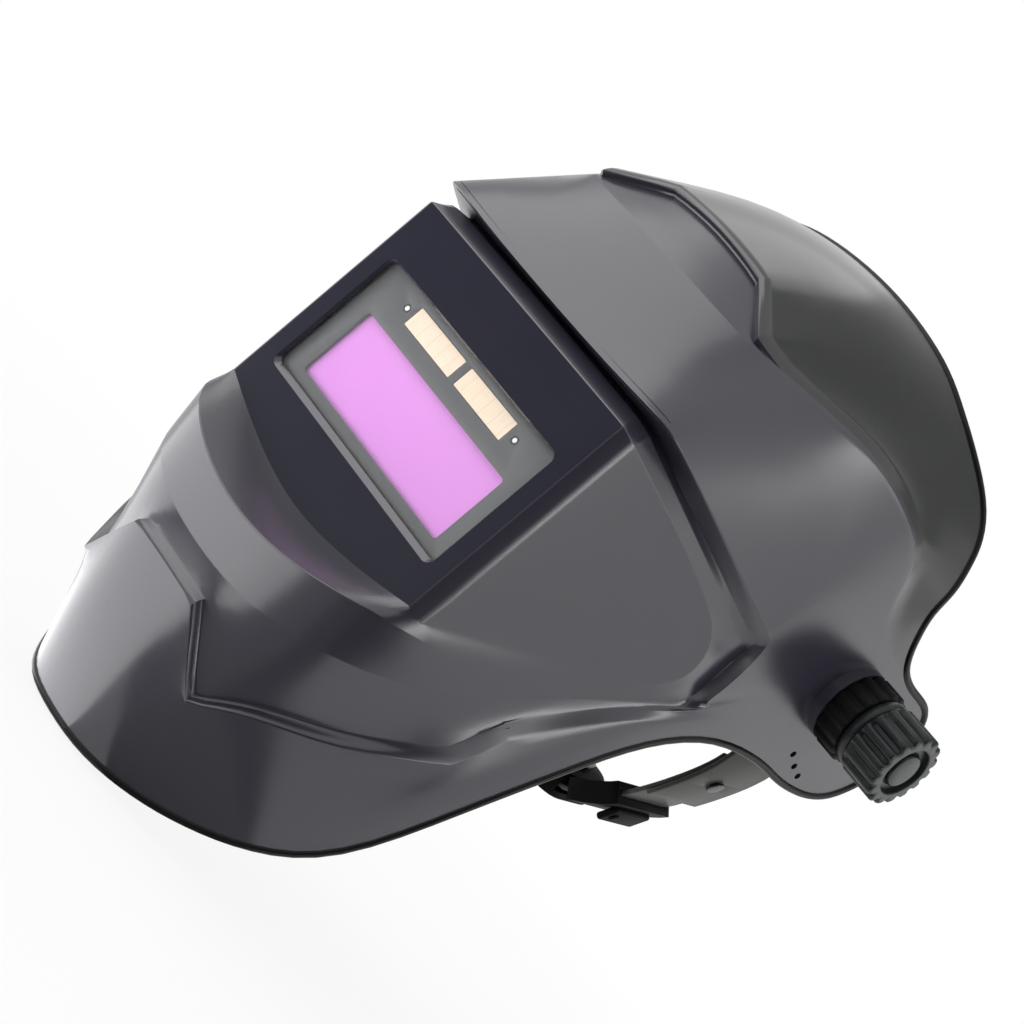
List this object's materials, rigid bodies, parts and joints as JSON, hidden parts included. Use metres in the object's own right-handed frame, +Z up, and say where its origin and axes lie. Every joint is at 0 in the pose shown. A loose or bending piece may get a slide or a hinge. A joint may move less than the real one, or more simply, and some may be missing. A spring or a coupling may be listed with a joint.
{
  "type": "welding helmet",
  "caption": "Moulded auto-darkening welding helmet with faceted visor box and chin plate, violet filter window, side tilt knobs and a ratchet headgear with crown straps.",
  "frame": {"origin": "middle of the tilt axis, between the two pivot bolts", "axes": "+X towards the wearer's left, -Y out of the visor, +Z up with the visor face upright"},
  "size_m": [0.2882, 0.3021, 0.3277],
  "materials": {
    "hood_plastic": "satin gloss moulded nylon",
    "clear_plate": "clear polycarbonate",
    "cartridge_plastic": "fine matt",
    "darkening_glass": "violet mirror coat",
    "solar_film": "peach film with fine lines",
    "sensor_window": "clear domed window",
    "board": "printed circuit board",
    "black_plastic": "fine matt",
    "knob_plastic": "satin",
    "strap_plastic": "satin, flexible",
    "pad_cloth": "pale knit cloth over foam",
    "steel": "zinc plated",
    "foam": "foam under knit cloth"
  },
  "bodies": {
    "headgear": {"headband": "strap_plastic", "sweatband": "foam", "rear_strap_left": "strap_plastic", "rear_strap_right": "strap_plastic", "strap_stud_left": "steel", "strap_stud_right": "steel", "strap_guide_left": "black_plastic", "strap_guide_right": "black_plastic", "crown_strap_left": "strap_plastic", "crown_strap_right": "strap_plastic", "crown_rivet_left": "black_plastic", "crown_rivet_right": "black_plastic", "crown_stud": "black_plastic", "ratchet_housing": "black_plastic", "ratchet_cover": "black_plastic", "nape_pad": "pad_cloth", "pivot_bolt_left": "steel", "pivot_bolt_right": "steel", "friction_washer_left": "black_plastic", "friction_washer_right": "black_plastic"},
    "hood": {"shell": "hood_plastic", "cover_lens": "clear_plate", "filter_housing": "cartridge_plastic", "filter_glass": "darkening_glass", "solar_cell_left": "solar_film", "solar_cell_right": "solar_film", "arc_sensor_left": "sensor_window", "arc_sensor_right": "sensor_window", "circuit_board": "board", "filter_back_cover": "cartridge_plastic", "inner_cover_lens": "clear_plate", "retaining_frame": "black_plastic", "stop_plate_left": "black_plastic", "stop_plate_right": "black_plastic"},
    "knob_left": {"pivot_knob_left": "knob_plastic", "knob_flange_left": "black_plastic"},
    "knob_right": {"pivot_knob_right": "knob_plastic", "knob_flange_right": "black_plastic"},
    "ratchet_knob": {"ratchet_knob": "black_plastic", "ratchet_pinion": "knob_plastic"},
    "rack_left": {"rack_left": "strap_plastic"},
    "rack_right": {"rack_right": "strap_plastic"}
  },
  "joints": [
    {"name": "hood_tilt", "type": "hinge", "parent": "headgear", "child": "hood", "pos_m": [0, 0, 0], "axis": [-1, 0, 0], "range_deg": [0, 155]},
    {"name": "knob_left_turn", "type": "hinge", "parent": "headgear", "child": "knob_left", "pos_m": [0.12, 0, 0], "axis": [1, 0, 0], "range_deg": [0, 360]},
    {"name": "knob_right_turn", "type": "hinge", "parent": "headgear", "child": "knob_right", "pos_m": [-0.12, 0, 0], "axis": [-1, 0, 0], "range_deg": [0, 360]},
    {"name": "ratchet_turn", "type": "hinge", "parent": "headgear", "child": "ratchet_knob", "pos_m": [0, 0, 0], "axis": [0, -0.2588, 0.9659], "range_deg": [0, 114]},
    {"name": "rack_left_slide", "type": "slide", "parent": "headgear", "child": "rack_left", "axis": [-1, 0, 0], "range_m": [0, 0.012]},
    {"name": "rack_right_slide", "type": "slide", "parent": "headgear", "child": "rack_right", "axis": [1, 0, 0], "range_m": [0, 0.012]}
  ],
  "couplings": [
    {"joint": "rack_left_slide", "follows": "ratchet_turn", "m_per_rad": 0.006},
    {"joint": "rack_right_slide", "follows": "ratchet_turn", "m_per_rad": 0.006}
  ]
}
